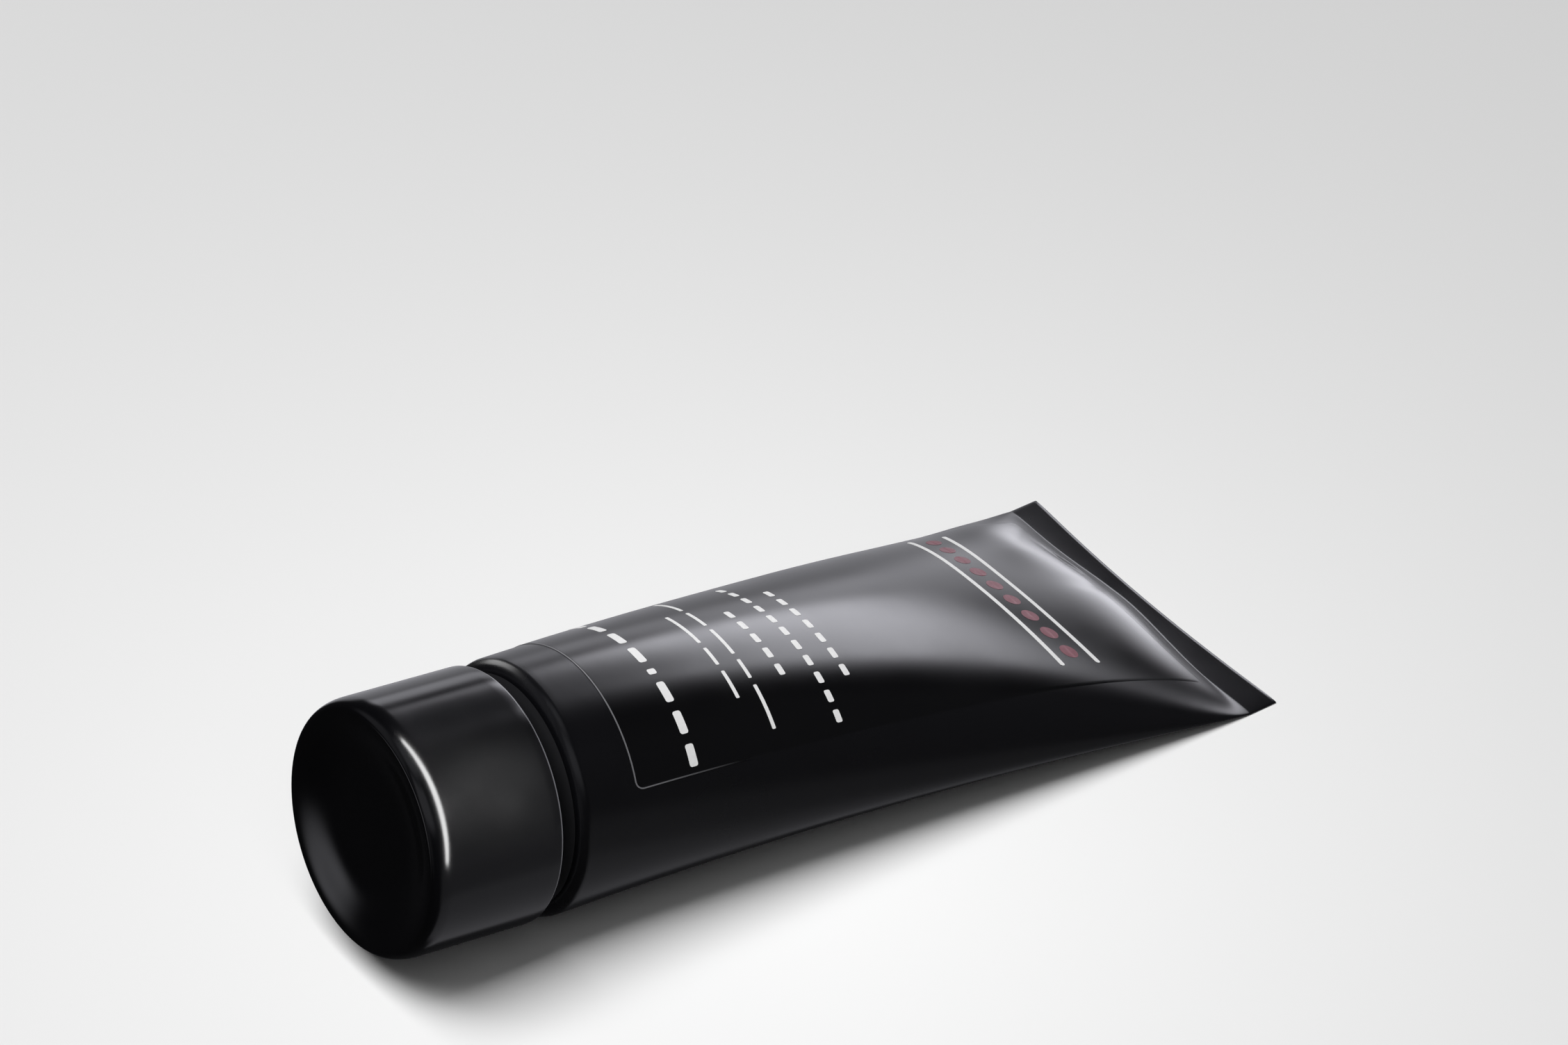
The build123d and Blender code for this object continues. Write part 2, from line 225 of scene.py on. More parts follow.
CAMERA_AZIMUTH = 54.83  # the way it looks, in degrees
CAMERA_FALL = 37.92  # and how far down
CAMERA_DISTANCE = 1.2708
CAMERA_SHIFT = (0.0036, 0.0248)  # its target, right of and above the middle of the CAD box
CAMERA_LENS_MM = 170.28
CAMERA_SENSOR_MM = 36
CAMERA_CLIP = (0.05, 20)

# ---- the tube's frame -----------------------------------------------------------------------


class Tube:
    """The tube's axis in the row frame, and how far the CAD nodes reach along it."""

    def __init__(self):
        turn = next(j for j in frame["joints"] if j["name"] == "cap_turn")
        self.along = -Vector(turn["axis"]).normalized()
        self.side = Vector((0, 1, 0))
        self.up = self.along.cross(self.side)
        self.origin = Vector(turn["pos_m"])
        self.origin += self.along * self.reach("cap_shell")[0] * MM

    def reach(self, node):
        """The first and last distance along the axis of a node, and its greatest radius, in mm."""
        points = np.array([v.co for v in frame["nodes"][node].data.vertices], float)
        points = (points - np.array(self.origin)) / MM
        s = points @ np.array(self.along)
        y = points @ np.array(self.side)
        z = points @ np.array(self.up)
        return s.min(), s.max(), np.hypot(y, z).max()

    def place(self, s, y, z):
        """Points (s, y, z) in mm as an array of points in the row frame, in metres."""
        s, y, z = np.broadcast_arrays(s, y, z)
        axes = (np.array(self.along), np.array(self.side), np.array(self.up))
        moved = sum(part[..., None] * axis for part, axis in zip((s, y, z), axes))
        return np.array(self.origin) + moved * MM


tube = Tube()
CAP_LENGTH, RADIUS = tube.reach("cap_shell")[1:]
SHOULDER = tube.reach("sleeve")[0]
TILT_COS = tube.along.x
TAIL = tube.reach("sleeve")[1] - TAIL_HOLLOW * TILT_COS
BODY_START = SHOULDER + LIP_RADIUS
BODY_LENGTH = TAIL - BODY_START
WELD_START = 1 - WELD_WIDTH / BODY_LENGTH
TAIL_HALF_WIDTH = pi * RADIUS / 2
LABEL_START, LABEL_END = tube.reach("front_label")[:2]

# ---- mesh helpers ---------------------------------------------------------------------------


def add_mesh(name, points, faces, body, slot, material, replaces=()):
    mesh = bpy.data.meshes.new(name)
    mesh.from_pydata([tuple(p) for p in points], [], faces)
    mesh.validate()
    mesh.shade_smooth()
    mesh.set_sharp_from_angle(angle=radians(SHARP_DEGREES))
    mesh.materials.append(material)
    piece = bpy.data.objects.new(name, mesh)
    bpy.context.scene.collection.objects.link(piece)
    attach(piece, body)
    if replaces:
        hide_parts(*replaces)
    return piece


def ring_faces(rows, count, start=0):
    """Quads between closed rings of `count` points that follow each other."""
    faces = []
    for r in range(rows - 1):
        a, b = start + r * count, start + (r + 1) * count
        for n in range(count):
            m = (n + 1) % count
            faces.append((a + n, a + m, b + m, b + n))
    return faces


def turned(profile, count=RING_POINTS):
    """Points and faces of a closed turned body. The profile starts and ends on the axis."""
    inner = profile[1:-1]
    angles = np.linspace(0, 2 * pi, count, endpoint=False)
    rings = [tube.place(s, r * np.sin(angles), r * np.cos(angles)) for s, r in inner]
    points = list(np.concatenate(rings))
    faces = ring_faces(len(inner), count)
    first, last = len(points), len(points) + 1
    points += [tube.place(profile[end][0], 0, 0) for end in (0, -1)]
    last_ring = (len(inner) - 1) * count
    for n in range(count):
        m = (n + 1) % count
        faces.append((first, m, n))
        faces.append((last, last_ring + n, last_ring + m))
    return points, faces


def arc(centre, radius, start, end, steps):
    """Points (s, r) on an arc about a centre, angles in degrees, 0 along s and 90 outwards."""
    angles = np.radians(np.linspace(start, end, steps + 1))
    return [(centre[0] + radius * cos(a), centre[1] + radius * sin(a)) for a in angles]


def run(start, end, steps):
    """Points from start towards end, without the last one."""
    along, across = end[0] - start[0], end[1] - start[1]
    shares = np.linspace(0, 1, steps, endpoint=False)
    return [(start[0] + along * k, start[1] + across * k) for k in shares]


# ---- the shape of the sleeve ----------------------------------------------------------------


def perimeter(width, upper, lower):
    total = 0.0
    for height in (upper, lower):
        h = ((width - height) / (width + height)) ** 2
        total += pi * (width + height) * (1 + 3 * h / (10 + sqrt(4 - 3 * h))) / 2
    return total


def half_width(upper, lower):
    """The half width that keeps the sleeve's perimeter, because the sleeve doesn't stretch."""
    low, high = RADIUS, TAIL_HALF_WIDTH + 1
    for _ in range(50):
        middle = (low + high) / 2
        if perimeter(middle, upper, lower) < 2 * pi * RADIUS:
            low = middle
        else:
            high = middle
    return min((low + high) / 2, TAIL_HALF_WIDTH)


def smooth_step(value, low, high):
    x = np.clip((value - low) / (high - low), 0, 1)
    return x * x * (3 - 2 * x)


def soft_positive(value, softness):
    """The value where it is positive and 0 where it isn't, with a rounded change between them."""
    softness = np.maximum(softness, 1e-4)
    x = np.clip(value / softness, -40, 700)
    return np.where(x > 30, value, softness * np.log1p(np.exp(np.minimum(x, 30))))


def bell(value, middle, reach):
    """1 at the middle, falling off smoothly over the reach on both sides of it."""
    return np.exp(-(((value - middle) / reach) ** 2))


def creases(s, y):
    """How much the small folds raise the upper skin."""
    total = 0.0
    for at_s, at_y, turn, length, width, height in CREASES:
        c, t = cos(radians(turn)), sin(radians(turn))
        along = ((s - at_s) * c + (y - at_y) * t) / length
        across = (-(s - at_s) * t + (y - at_y) * c) / width
        total = total + height * np.exp(-(along**2) - across**2)
    return total


class Skin:
    """The sleeve's outer surface, by share of its length and angle from the top."""

    def __init__(self):
        self.shares = np.linspace(0, WELD_START, 400)
        side = self.side_line(self.shares)
        upper, lower = self.top_line(self.shares) - side, side + RADIUS * (1 - self.shares)
        self.widths = [half_width(u, low) for u, low in zip(upper, lower)]

    def top_line(self, share):
        """The height of the upper side's middle, if the belly came down evenly."""
        weld_top = -RADIUS * (1 - WELD_START) + WELD_THICKNESS
        along = share / WELD_START
        fall = np.minimum(EARLY_FALL * along**2 + (1 - EARLY_FALL) * along**LATE_POWER, 1.0)
        return weld_top + (RADIUS - weld_top) * (1 - fall)

    def side_line(self, share):
        """The height of the two folds, where the upper and the lower side meet."""
        fold = (WELD_THICKNESS / 2 - RADIUS * (1 - WELD_START)) * share / WELD_START
        return np.where(share >= WELD_START, -RADIUS * (1 - share) + WELD_THICKNESS / 2, fold)

    def frame_at(self, share):
        """Heights of the folded side and of the underside, and the half width."""
        width = np.interp(share, self.shares, self.widths)
        width = np.where(share >= WELD_START, TAIL_HALF_WIDTH, width)
        return self.side_line(share), -RADIUS * (1 - share), width

    def crown(self, share, sine):
        """The upper side's height across the tube, from 1 in the middle to 0 at the folds."""
        oval = np.sqrt(np.clip(1 - sine**2, 0, 1))
        # on the far side the belly stays full and its flank draws in towards the weld
        flank = FLANK_WIDTH + FLANK_SPREAD * np.maximum(WELD_START - share, 0) * BODY_LENGTH
        power = np.sqrt(2**2 + (FLANK_STEEPNESS * TAIL_HALF_WIDTH / flank) ** 2)
        root = 2 - FLANK_FULLNESS * smooth_step(share, *FULL_SHARES)
        full = np.clip(1 - np.abs(sine) ** power, 0, 1) ** (1 / root)
        bulge = FAR_BULGE * bell(share, BULGE_MIDDLE, BULGE_REACH) * smooth_step(sine, *BULGE_SIDE)
        return oval + (full * (1 + bulge) - oval) * smooth_step(sine, *FAR_SIDE)

    def bare(self, share, angles):
        """Points (s, y, z) at these angles from the top."""
        share = np.asarray(share, float)
        side, bottom, width = self.frame_at(share)
        sine, cosine = np.sin(angles), np.cos(angles)
        y = width * sine
        late = WAVE * smooth_step(share, *WAVE_SHARES) * bell(sine, WAVE_MIDDLE, WAVE_REACH)
        early = EARLY * smooth_step(share, *WAVE_SHARES) * smooth_step(-sine, *EARLY_SIDE)
        belly = (self.top_line(share - late + early) - side) * self.crown(share, sine)
        edge = np.sqrt(np.clip(1 - sine**WELD_SQUARENESS, 0, 1))
        weld = WELD_THICKNESS / 2 * smooth_step(share, *WELD_SHARES) * edge
        sharpness = 1 - FILLET_LOSS * smooth_step(-sine, *FILLET_LOSS_SIDE)
        softness = WELD_FILLET * smooth_step(share, *FILLET_SHARES) * edge * sharpness
        above = weld + soft_positive(belly - weld, softness)
        below = np.maximum((side - bottom) * np.abs(cosine), weld)
        hollow = TAIL_HOLLOW * TILT_COS * (y / TAIL_HALF_WIDTH) ** 2 * share**2
        s = BODY_START + share * BODY_LENGTH + hollow
        z = side + np.where(cosine >= 0, above + creases(s, y) * edge, -below)
        return np.stack(np.broadcast_arrays(s, y, z), axis=-1)

    def hollow(self, share, angles):
        """Points (s, y, z) of the sleeve's inner surface."""
        side, _, width = self.frame_at(share)
        points = self.bare(share, angles)
        cosine = np.abs(np.cos(angles))
        depth = points[..., 2] - side
        points[..., 1] *= (width - WALL) / width
        inner = np.maximum(np.abs(depth) - WALL * cosine, HOLLOW_LEAST * cosine)
        points[..., 2] = side + np.sign(depth) * inner
        return points

    def lifted(self, share, angles, lift):
        """Points (s, y, z) on or off the skin by a lift along its normal."""
        points = self.bare(share, angles)
        if lift:
            step = 1e-3
            back, ahead = share - step, np.minimum(share + step, 1.0)
            along = self.bare(ahead, angles) - self.bare(back, angles)
            around = self.bare(share, angles + step) - self.bare(share, angles - step)
            normal = np.cross(along, around)
            points = points + lift * normal / np.linalg.norm(normal, axis=-1, keepdims=True)
        return points

    def angles_at(self, share, arcs):
        """The angles from the top of points that lie these arcs from the top line."""
        fine = np.linspace(0, pi / 2, 361)
        points = self.bare(share, fine)
        steps = np.hypot(np.diff(points[:, 1]), np.diff(points[:, 2]))
        lengths = np.concatenate([[0], np.cumsum(steps)])
        return np.sign(arcs) * np.interp(np.abs(arcs), lengths, fine)


skin = Skin()


def share_at(s):
    return (s - BODY_START) / BODY_LENGTH


def sleeve_mesh():
    """The thin-walled sleeve: its hollow, its rolled front lip, its belly and its welded tail."""
    angles = np.linspace(0, 2 * pi, RING_POINTS, endpoint=False)
    rings = []

    def circle(s, r):
        rings.append(tube.place(s, r * np.sin(angles), r * np.cos(angles)))

    for share in np.linspace(INNER_END, 0, HOLLOW_RINGS):
        rings.append(tube.place(*skin.hollow(share, angles).T))
    lip = (BODY_START, RADIUS - LIP_RADIUS)
    for s, r in arc(lip, LIP_RADIUS - WALL, start=100, end=180, steps=8):
        circle(s, r)
    for s, r in arc(lip, LIP_RADIUS, start=180, end=90, steps=16)[:-1]:
        circle(s, r)
    stretches = [np.linspace(*stretch, endpoint=False) for stretch in SLEEVE_RINGS]
    tail = np.linspace(SLEEVE_RINGS[-1][1], 1 - TAIL_BREAK, TAIL_RINGS)
    for share in np.concatenate([*stretches, tail]):
        rings.append(tube.place(*skin.bare(share, angles).T))
    # the tail edge is cut square, with its corners just broken
    s, y, z = skin.bare(1.0, angles).T
    centre = (z.max() + z.min()) / 2
    rings.append(tube.place(s, y, centre + (z - centre) * TAIL_EDGE))
    points = np.concatenate(rings)
    count = RING_POINTS
    faces = ring_faces(len(rings), count)
    for start, flip in ((0, True), ((len(rings) - 1) * count, False)):
        half = count // 2
        quarter = count // 4
        # across the flat end, from the upper side to the lower side
        for k in range(-quarter, quarter):
            a, b = k % count, (k + 1) % count
            c, d = (half - k - 1) % count, (half - k) % count
            face = [start + i for i in dict.fromkeys((a, b, c, d))]
            if len(face) >= 3:
                faces.append(tuple(face[::-1]) if flip else tuple(face))
    return points, faces


# ---- sheets on the sleeve -------------------------------------------------------------------


def sheet_rows(s_range, arc_range, corner, counts):
    """Rows of (distance along, arcs) that fill a rectangle with rounded corners."""
    (s0, s1), (a0, a1) = s_range, arc_range
    corner = min(corner, (s1 - s0) / 2, (a1 - a0) / 2)
    quarter = corner * (1 - np.cos(np.linspace(0, pi / 2, CORNER_STEPS)))
    middle = np.linspace(s0 + corner, s1 - corner, counts[0] + 1)
    rows = []
    for s in np.concatenate([s0 + quarter[:-1], middle, s1 - quarter[-2::-1]]):
        short = corner - min(s - s0, s1 - s, corner)
        inset = corner - sqrt(max(corner**2 - short**2, 0))
        rows.append((s, np.linspace(a0 + inset, a1 - inset, counts[1] + 1)))
    return rows


def patch(s_range, arc_range, corner, base, top, step=0.6, bevel=0.0, bow=0.0):
    """Points and faces of a thin closed sheet on the sleeve, with rounded corners.

    It covers a range along the tube and a range of arcs, and lies between two lifts, of which
    the top one may be a function of the place along the tube. Its upper face is drawn in by the
    bevel. A bow curves it towards the cap in its middle.
    """
    counts = [max(int((high - low) / step), 2) for low, high in (s_range, arc_range)]
    inner = [(low + bevel, high - bevel) for low, high in (s_range, arc_range)]
    upper = sheet_rows(*inner, max(corner - bevel, 0.01), counts)
    lower = sheet_rows(s_range, arc_range, corner, counts)
    rings = []
    for rows, lift in ((upper, top), (lower, base)):
        for s, arcs in rows:
            share = share_at(s)
            angles = skin.angles_at(share, arcs)
            if bow:
                share = share_at(s - bow * (1 - ((arcs - BOW_MIDDLE) / BOW_REACH) ** 2))
            spots = skin.lifted(share, angles, lift(s) if callable(lift) else lift)
            rings.append(tube.place(*spots.T))
    points = np.concatenate(rings)
    rows, columns = len(lower), counts[1]
    count = columns + 1
    under = rows * count
    faces = []
    for r in range(rows - 1):
        for c in range(columns):
            a = r * count + c
            quad = (a, a + 1, a + count + 1, a + count)
            faces.append(quad[::-1])
            faces.append(tuple(under + i for i in quad))
    last = (rows - 1) * count
    rim = list(range(count)) + [r * count + columns for r in range(1, rows)]
    rim += [last + c for c in range(columns - 1, -1, -1)]
    rim += [r * count for r in range(rows - 2, 0, -1)]
    for a, b in zip(rim, rim[1:] + rim[:1]):
        faces.append((a, b, under + b, under + a))
    return points, faces


def border(s_range, arc_range, corner, width):
    """Points and faces of a narrow raised band along a sheet's front edge and front corners."""

    def outline(inset):
        sides = (s_range[0] + inset, s_range[0] + BORDER_REACH)
        ends = (arc_range[0] + inset, arc_range[1] - inset)
        rows = sheet_rows(sides, ends, max(corner - inset, 0.01), (BORDER_STEPS, BORDER_STEPS))
        rows = [(s, arcs) for s, arcs in rows if s < sides[1] - corner]
        line = [(s, arcs[0]) for s, arcs in rows[:0:-1]]
        line += [(rows[0][0], a) for a in rows[0][1]]
        return line + [(s, arcs[-1]) for s, arcs in rows[1:]]

    outer, inner = outline(0), outline(width)
    rings = []
    lifts = (-LABEL_SINK, BORDER_LIFT, BORDER_LIFT, -LABEL_SINK)
    for line, lift in zip((outer, outer, inner, inner), lifts):
        shares = share_at(np.array(line)[:, 0])
        angles = [float(skin.angles_at(share, arc)) for share, (_, arc) in zip(shares, line)]
        rings.append(tube.place(*skin.lifted(shares, np.array(angles), lift).T))
    count = len(outer)
    faces = []
    for row in range(4):
        a, b = row * count, (row + 1) % 4 * count
        faces += [(a + n, a + n + 1, b + n + 1, b + n) for n in range(count - 1)]
    faces += [(3 * count, 2 * count, count, 0), tuple(row * count + count - 1 for row in range(4))]
    return np.concatenate(rings), faces


def joined(parts):
    """Points and faces of several meshes as one."""
    points, faces, start = [], [], 0
    for part_points, part_faces in parts:
        points.append(np.asarray(part_points))
        faces += [tuple(start + i for i in f) for f in part_faces]
        start += len(part_points)
    return np.concatenate(points), faces


# ---- materials ------------------------------------------------------------------------------


class Nodes:
    """A material's node tree, with short ways to add what the finishes here need."""

    def __init__(self, name):
        self.material = bpy.data.materials.new(name)
        self.material.use_nodes = True
        self.tree = self.material.node_tree
        self.shader = self.tree.nodes["Principled BSDF"]
        self.where = self.add("ShaderNodeTexCoord").outputs["Object"]

    def set(self, socket, value):
        self.shader.inputs[socket].default_value = value

    def add(self, kind, **values):
        node = self.tree.nodes.new(kind)
        for key, value in values.items():
            setattr(node, key, value)
        return node

    def link(self, source, target):
        self.tree.links.new(source, target)

    def noise(self, size_mm, detail=3.0, stretch=(1, 1, 1)):
        mapping = self.add("ShaderNodeMapping")
        mapping.inputs["Scale"].default_value = stretch
        self.link(self.where, mapping.inputs["Vector"])
        noise = self.add("ShaderNodeTexNoise")
        noise.inputs["Scale"].default_value = 1 / (size_mm * MM)
        noise.inputs["Detail"].default_value = detail
        self.link(mapping.outputs["Vector"], noise.inputs["Vector"])
        return noise.outputs["Fac"]

    def spread(self, source, low, high, start=0.3, end=0.7):
        """The source's values from start to end, spread over low to high."""
        node = self.add("ShaderNodeMapRange")
        ends = {"From Min": start, "From Max": end, "To Min": low, "To Max": high}
        for key, value in ends.items():
            node.inputs[key].default_value = value
        self.link(source, node.inputs["Value"])
        return node.outputs["Result"]

    def colours(self, source, dark, light):
        """The base colour, from dark where the source is 0 to light where it is 1."""
        node = self.add("ShaderNodeMix", data_type="RGBA")
        node.inputs["A"].default_value = (*dark, 1)
        node.inputs["B"].default_value = (*light, 1)
        self.link(source, node.inputs["Factor"])
        self.link(node.outputs["Result"], self.shader.inputs["Base Color"])

    def bumps(self, *layers):
        """Layers of (height output, strength, distance in mm), each on top of the one before."""
        normal = None
        for height, strength, distance in layers:
            bump = self.add("ShaderNodeBump")
            bump.inputs["Strength"].default_value = strength
            bump.inputs["Distance"].default_value = distance * MM
            self.link(height, bump.inputs["Height"])
            if normal is not None:
                self.link(normal, bump.inputs["Normal"])
            normal = bump.outputs["Normal"]
        self.link(normal, self.shader.inputs["Normal"])

    def roughness(self, low, high, size_mm):
        self.link(self.spread(self.noise(size_mm, 4), low, high), self.shader.inputs["Roughness"])


def finish_plastic(nodes, rough, specular, peel_mm, peel_strength):
    """The gloss of black plastic, an orange-peel skin and fine scuffs along the tube."""
    nodes.set("Specular IOR Level", specular)
    nodes.roughness(*rough, 14)
    peel = nodes.noise(peel_mm, 2)
    scuffs = nodes.noise(0.5, 2, stretch=(0.08, 1, 1))
    nodes.bumps((peel, peel_strength, 0.05), (scuffs, 0.04, 0.01))
    return nodes.material


def plastic(name, dark, light, rough, specular, peel_mm):
    """Black moulded or extruded plastic with faint mottling."""
    nodes = Nodes(name)
    nodes.colours(nodes.noise(9, 4), dark, light)
    return finish_plastic(nodes, rough, specular, peel_mm, 0.1)


def sleeve_plastic():
    dark, light = (0.0026, 0.0026, 0.0033), (0.0038, 0.0038, 0.0047)
    return plastic("sleeve_satin_black", dark, light, rough=(0.23, 0.28), specular=0.4, peel_mm=2.2)


def cap_plastic():
    """Gloss black, with a painted highlight: a pale grey base colour from half a millimetre before
    the open edge and over the edge itself.
    """
    nodes = Nodes("cap_gloss_black")
    along = nodes.add("ShaderNodeVectorMath", operation="DOT_PRODUCT")
    along.inputs[1].default_value = tube.along
    nodes.link(nodes.where, along.inputs[0])
    open_edge = tube.origin.dot(tube.along) + CAP_LENGTH * MM
    # painted highlight: the colour turns pale grey over the last half millimetre before the open
    # edge
    line = nodes.spread(along.outputs["Value"], 0, 1, open_edge - 0.5 * MM, open_edge - 0.1 * MM)
    nodes.colours(line, (0.0009, 0.0009, 0.0012), (0.11, 0.11, 0.12))
    return finish_plastic(nodes, rough=(0.15, 0.19), specular=0.45, peel_mm=3.0, peel_strength=0.04)


def neck_plastic():
    dark, light = (0.012, 0.012, 0.013), (0.017, 0.017, 0.019)
    return plastic("neck_black", dark, light, rough=(0.34, 0.42), specular=0.35, peel_mm=1.2)


def cap_inner_plastic():
    dark, light = (0.014, 0.014, 0.015), (0.02, 0.02, 0.021)
    return plastic("cap_inner_black", dark, light, rough=(0.38, 0.48), specular=0.35, peel_mm=1.0)


def label_film():
    """Laminated label: blacker and glossier than the sleeve under it."""
    nodes = Nodes("label_laminate")
    nodes.colours(nodes.noise(12, 4), (0.0009, 0.0009, 0.0012), (0.0014, 0.0014, 0.0018))
    nodes.set("Specular IOR Level", 0.5)
    nodes.roughness(0.2, 0.25, 18)
    nodes.bumps((nodes.noise(4.0, 2), 0.08, 0.06), (nodes.noise(0.35, 1), 0.05, 0.008))
    return nodes.material


def label_edge_painted_highlight():
    """The cut edge of the label film, with a painted highlight: pale near the label's front, fading
    to black further along the tube.
    """
    nodes = Nodes("label_edge_painted_highlight")
    parts = nodes.add("ShaderNodeSeparateXYZ")
    nodes.link(nodes.where, parts.inputs[0])
    front = float(tube.place(LABEL_START, 0, 0)[0])
    # painted highlight: pale up to 4 mm past the label's front, fading to black by 22 mm
    pale = nodes.spread(parts.outputs["X"], 1, 0, front + 4 * MM, front + 22 * MM)
    nodes.colours(pale, (0.002, 0.002, 0.0025), (0.16, 0.16, 0.17))
    nodes.set("Specular IOR Level", 0.5)
    nodes.roughness(0.3, 0.4, 3)
    nodes.bumps((nodes.noise(0.5, 2), 0.1, 0.01))
    return nodes.material


def ink(name, dark, light):
    nodes = Nodes(name)
    nodes.colours(nodes.noise(0.6, 4), dark, light)
    nodes.set("Specular IOR Level", 0.3)
    nodes.roughness(0.38, 0.5, 1.0)
    nodes.bumps((nodes.noise(0.2, 2), 0.15, 0.01))
    return nodes.material


def foil():
    nodes = Nodes("seal_foil")
    nodes.colours(nodes.noise(3, 4), (0.55, 0.55, 0.57), (0.7, 0.7, 0.72))
    nodes.set("Metallic", 0.9)
    nodes.roughness(0.25, 0.4, 3)
    nodes.bumps((nodes.noise(1.2, 3), 0.3, 0.08))
    return nodes.material


def foam():
    nodes = Nodes("liner_foam")
    cells = nodes.add("ShaderNodeTexVoronoi")
    cells.inputs["Scale"].default_value = 1 / (0.25 * MM)
    nodes.link(nodes.where, cells.inputs["Vector"])
    walls = nodes.spread(cells.outputs["Distance"], 0, 1, 0, 0.7)
    nodes.colours(walls, (0.62, 0.62, 0.6), (0.8, 0.8, 0.78))
    nodes.roughness(0.75, 0.9, 2)
    nodes.bumps((cells.outputs["Distance"], 0.4, 0.1))
    return nodes.material


def cream_paste():
    nodes = Nodes("cream_paste")
    nodes.colours(nodes.noise(6, 3), (0.78, 0.77, 0.73), (0.86, 0.85, 0.82))
    nodes.set("Subsurface Weight", 0.15)
    nodes.set("Subsurface Radius", (0.003, 0.003, 0.002))
    nodes.roughness(0.3, 0.45, 4)
    nodes.bumps((nodes.noise(3, 4), 0.3, 0.3))
    return nodes.material


# ---- pieces ---------------------------------------------------------------------------------


def dress(node, material):
    """A CAD node that stays, with a finished material."""
    piece = frame["nodes"][node]
    piece.data.materials.clear()
    piece.data.materials.append(material)


def add_sleeve():
    points, faces = sleeve_mesh()
    add_mesh("tube_sleeve", points, faces, "tube", "tube_plastic", sleeve_plastic(), ["sleeve"])


def film(s):
    """The label's thickness, which lies nearly flush with the skin towards the tail."""
    return LABEL_THICKNESS * (1 - LABEL_FLUSH * smooth_step(s, *FLUSH_RANGE))


def add_label():
    places = (LABEL_START, LABEL_END)
    arcs = (LABEL_NEAR_ARC, LABEL_FAR_ARC)
    sheet = patch(places, arcs, LABEL_CORNER, base=-LABEL_SINK, top=film, bevel=LABEL_BEVEL)
    add_mesh("label_front", *sheet, "tube", "label_film", label_film(), ["front_label"])
    edge = border(places, arcs, LABEL_CORNER, LABEL_EDGE_WIDTH)
    add_mesh("label_edge", *edge, "tube", "label_film", label_edge_painted_highlight())


def mark(s_middle, arc_middle, tall, wide, corner, bow=0.0):
    """One printed mark on the label."""
    return patch(
        (s_middle - tall / 2, s_middle + tall / 2),
        (arc_middle - wide / 2, arc_middle + wide / 2),
        corner,
        base=film(s_middle) - PRINT_SINK,
        top=film(s_middle) + PRINT_LIFT,
        step=PRINT_STEP,
        bow=bow,
    )


def row_of_marks(place, far_end, near_end, tall, widths, gap):
    """Plain bars in place of a printed line, from its far end to its near end.

    The widths and the gap are scaled together so that the row fits.
    """
    scale = (far_end - near_end) / (sum(widths) + gap * (len(widths) - 1))
    marks, at = [], far_end
    for width in widths:
        wide = width * scale
        marks.append(mark(place, at - wide / 2, tall, wide, min(tall, wide) * MARK_ROUNDING))
        at -= wide + gap * scale
    return marks


def add_print():
    white = ink("ink_white", (0.74, 0.74, 0.74), (0.86, 0.86, 0.86))
    red = ink("ink_muted_red", (0.15, 0.045, 0.06), (0.2, 0.065, 0.085))
    lines = [bar for row in PRINT_ROWS for bar in row_of_marks(*row)]
    add_mesh("print_lines", *joined(lines), "tube", "print_white", white)
    rules = [mark(s, BOW_MIDDLE, *RULE_SIZE, RULE_CORNER, bow=PRINT_BOW) for s in RULE_PLACES]
    add_mesh("print_rules", *joined(rules), "tube", "print_white", white)
    dots = [
        mark(DOT_PLACE, arc_middle, DOT_SIZE, DOT_SIZE, DOT_SIZE / 2, bow=PRINT_BOW)
        for arc_middle in np.linspace(*DOT_ARCS, DOT_COUNT)
    ]
    add_mesh("print_dots", *joined(dots), "tube", "print_red", red)


def add_cap_shell():
    """The outer cup: dished end, rounded rim, straight side and a softly broken open edge."""
    inside = RADIUS - CAP_WALL
    crest = RADIUS - ROLL_DEPTH
    end_wall = DISH_DEPTH + END_WALL
    edge_start = CAP_LENGTH - EDGE_ROUND
    radii = np.linspace(0, crest, DISH_RINGS)[:-1]
    ways = np.clip((radii - DISH_FLAT) / (crest - DISH_FLAT), 0, 1) ** DISH_POWER
    dish = [(DISH_DEPTH * (1 - smooth_step(way, 0, 1)), r) for way, r in zip(ways, radii)]
    turns = np.radians(np.linspace(0, 90, 31))
    rim = [(ROLL_LENGTH * (1 - cos(a)), crest + ROLL_DEPTH * sin(a)) for a in turns]
    side = run((ROLL_LENGTH, RADIUS), (edge_start, RADIUS), 12)[1:]
    edge = arc((edge_start, RADIUS - EDGE_ROUND), EDGE_ROUND, start=90, end=0, steps=8)
    back = [(CAP_LENGTH, inside + INNER_BREAK), (CAP_LENGTH - INNER_BREAK, inside)]
    back += [(s, inside - inwards) for s, inwards in INNER_CORNER]
    back += [(end_wall, END_FLAT), (end_wall, 0)]
    profile = dish + rim + side + edge + back
    points, faces = turned(profile[::-1])
    add_mesh("cap_outer", points, faces, "cap", "cap_gloss", cap_plastic(), ["cap_shell"])


add_sleeve()
add_label()
add_print()
add_cap_shell()
dress("head", neck_plastic())
dress("cap_core", cap_inner_plastic())
dress("cap_liner", foam())
dress("peel_seal", foil())
dress("cream", cream_paste())

# ---- floor, light and camera ----------------------------------------------------------------


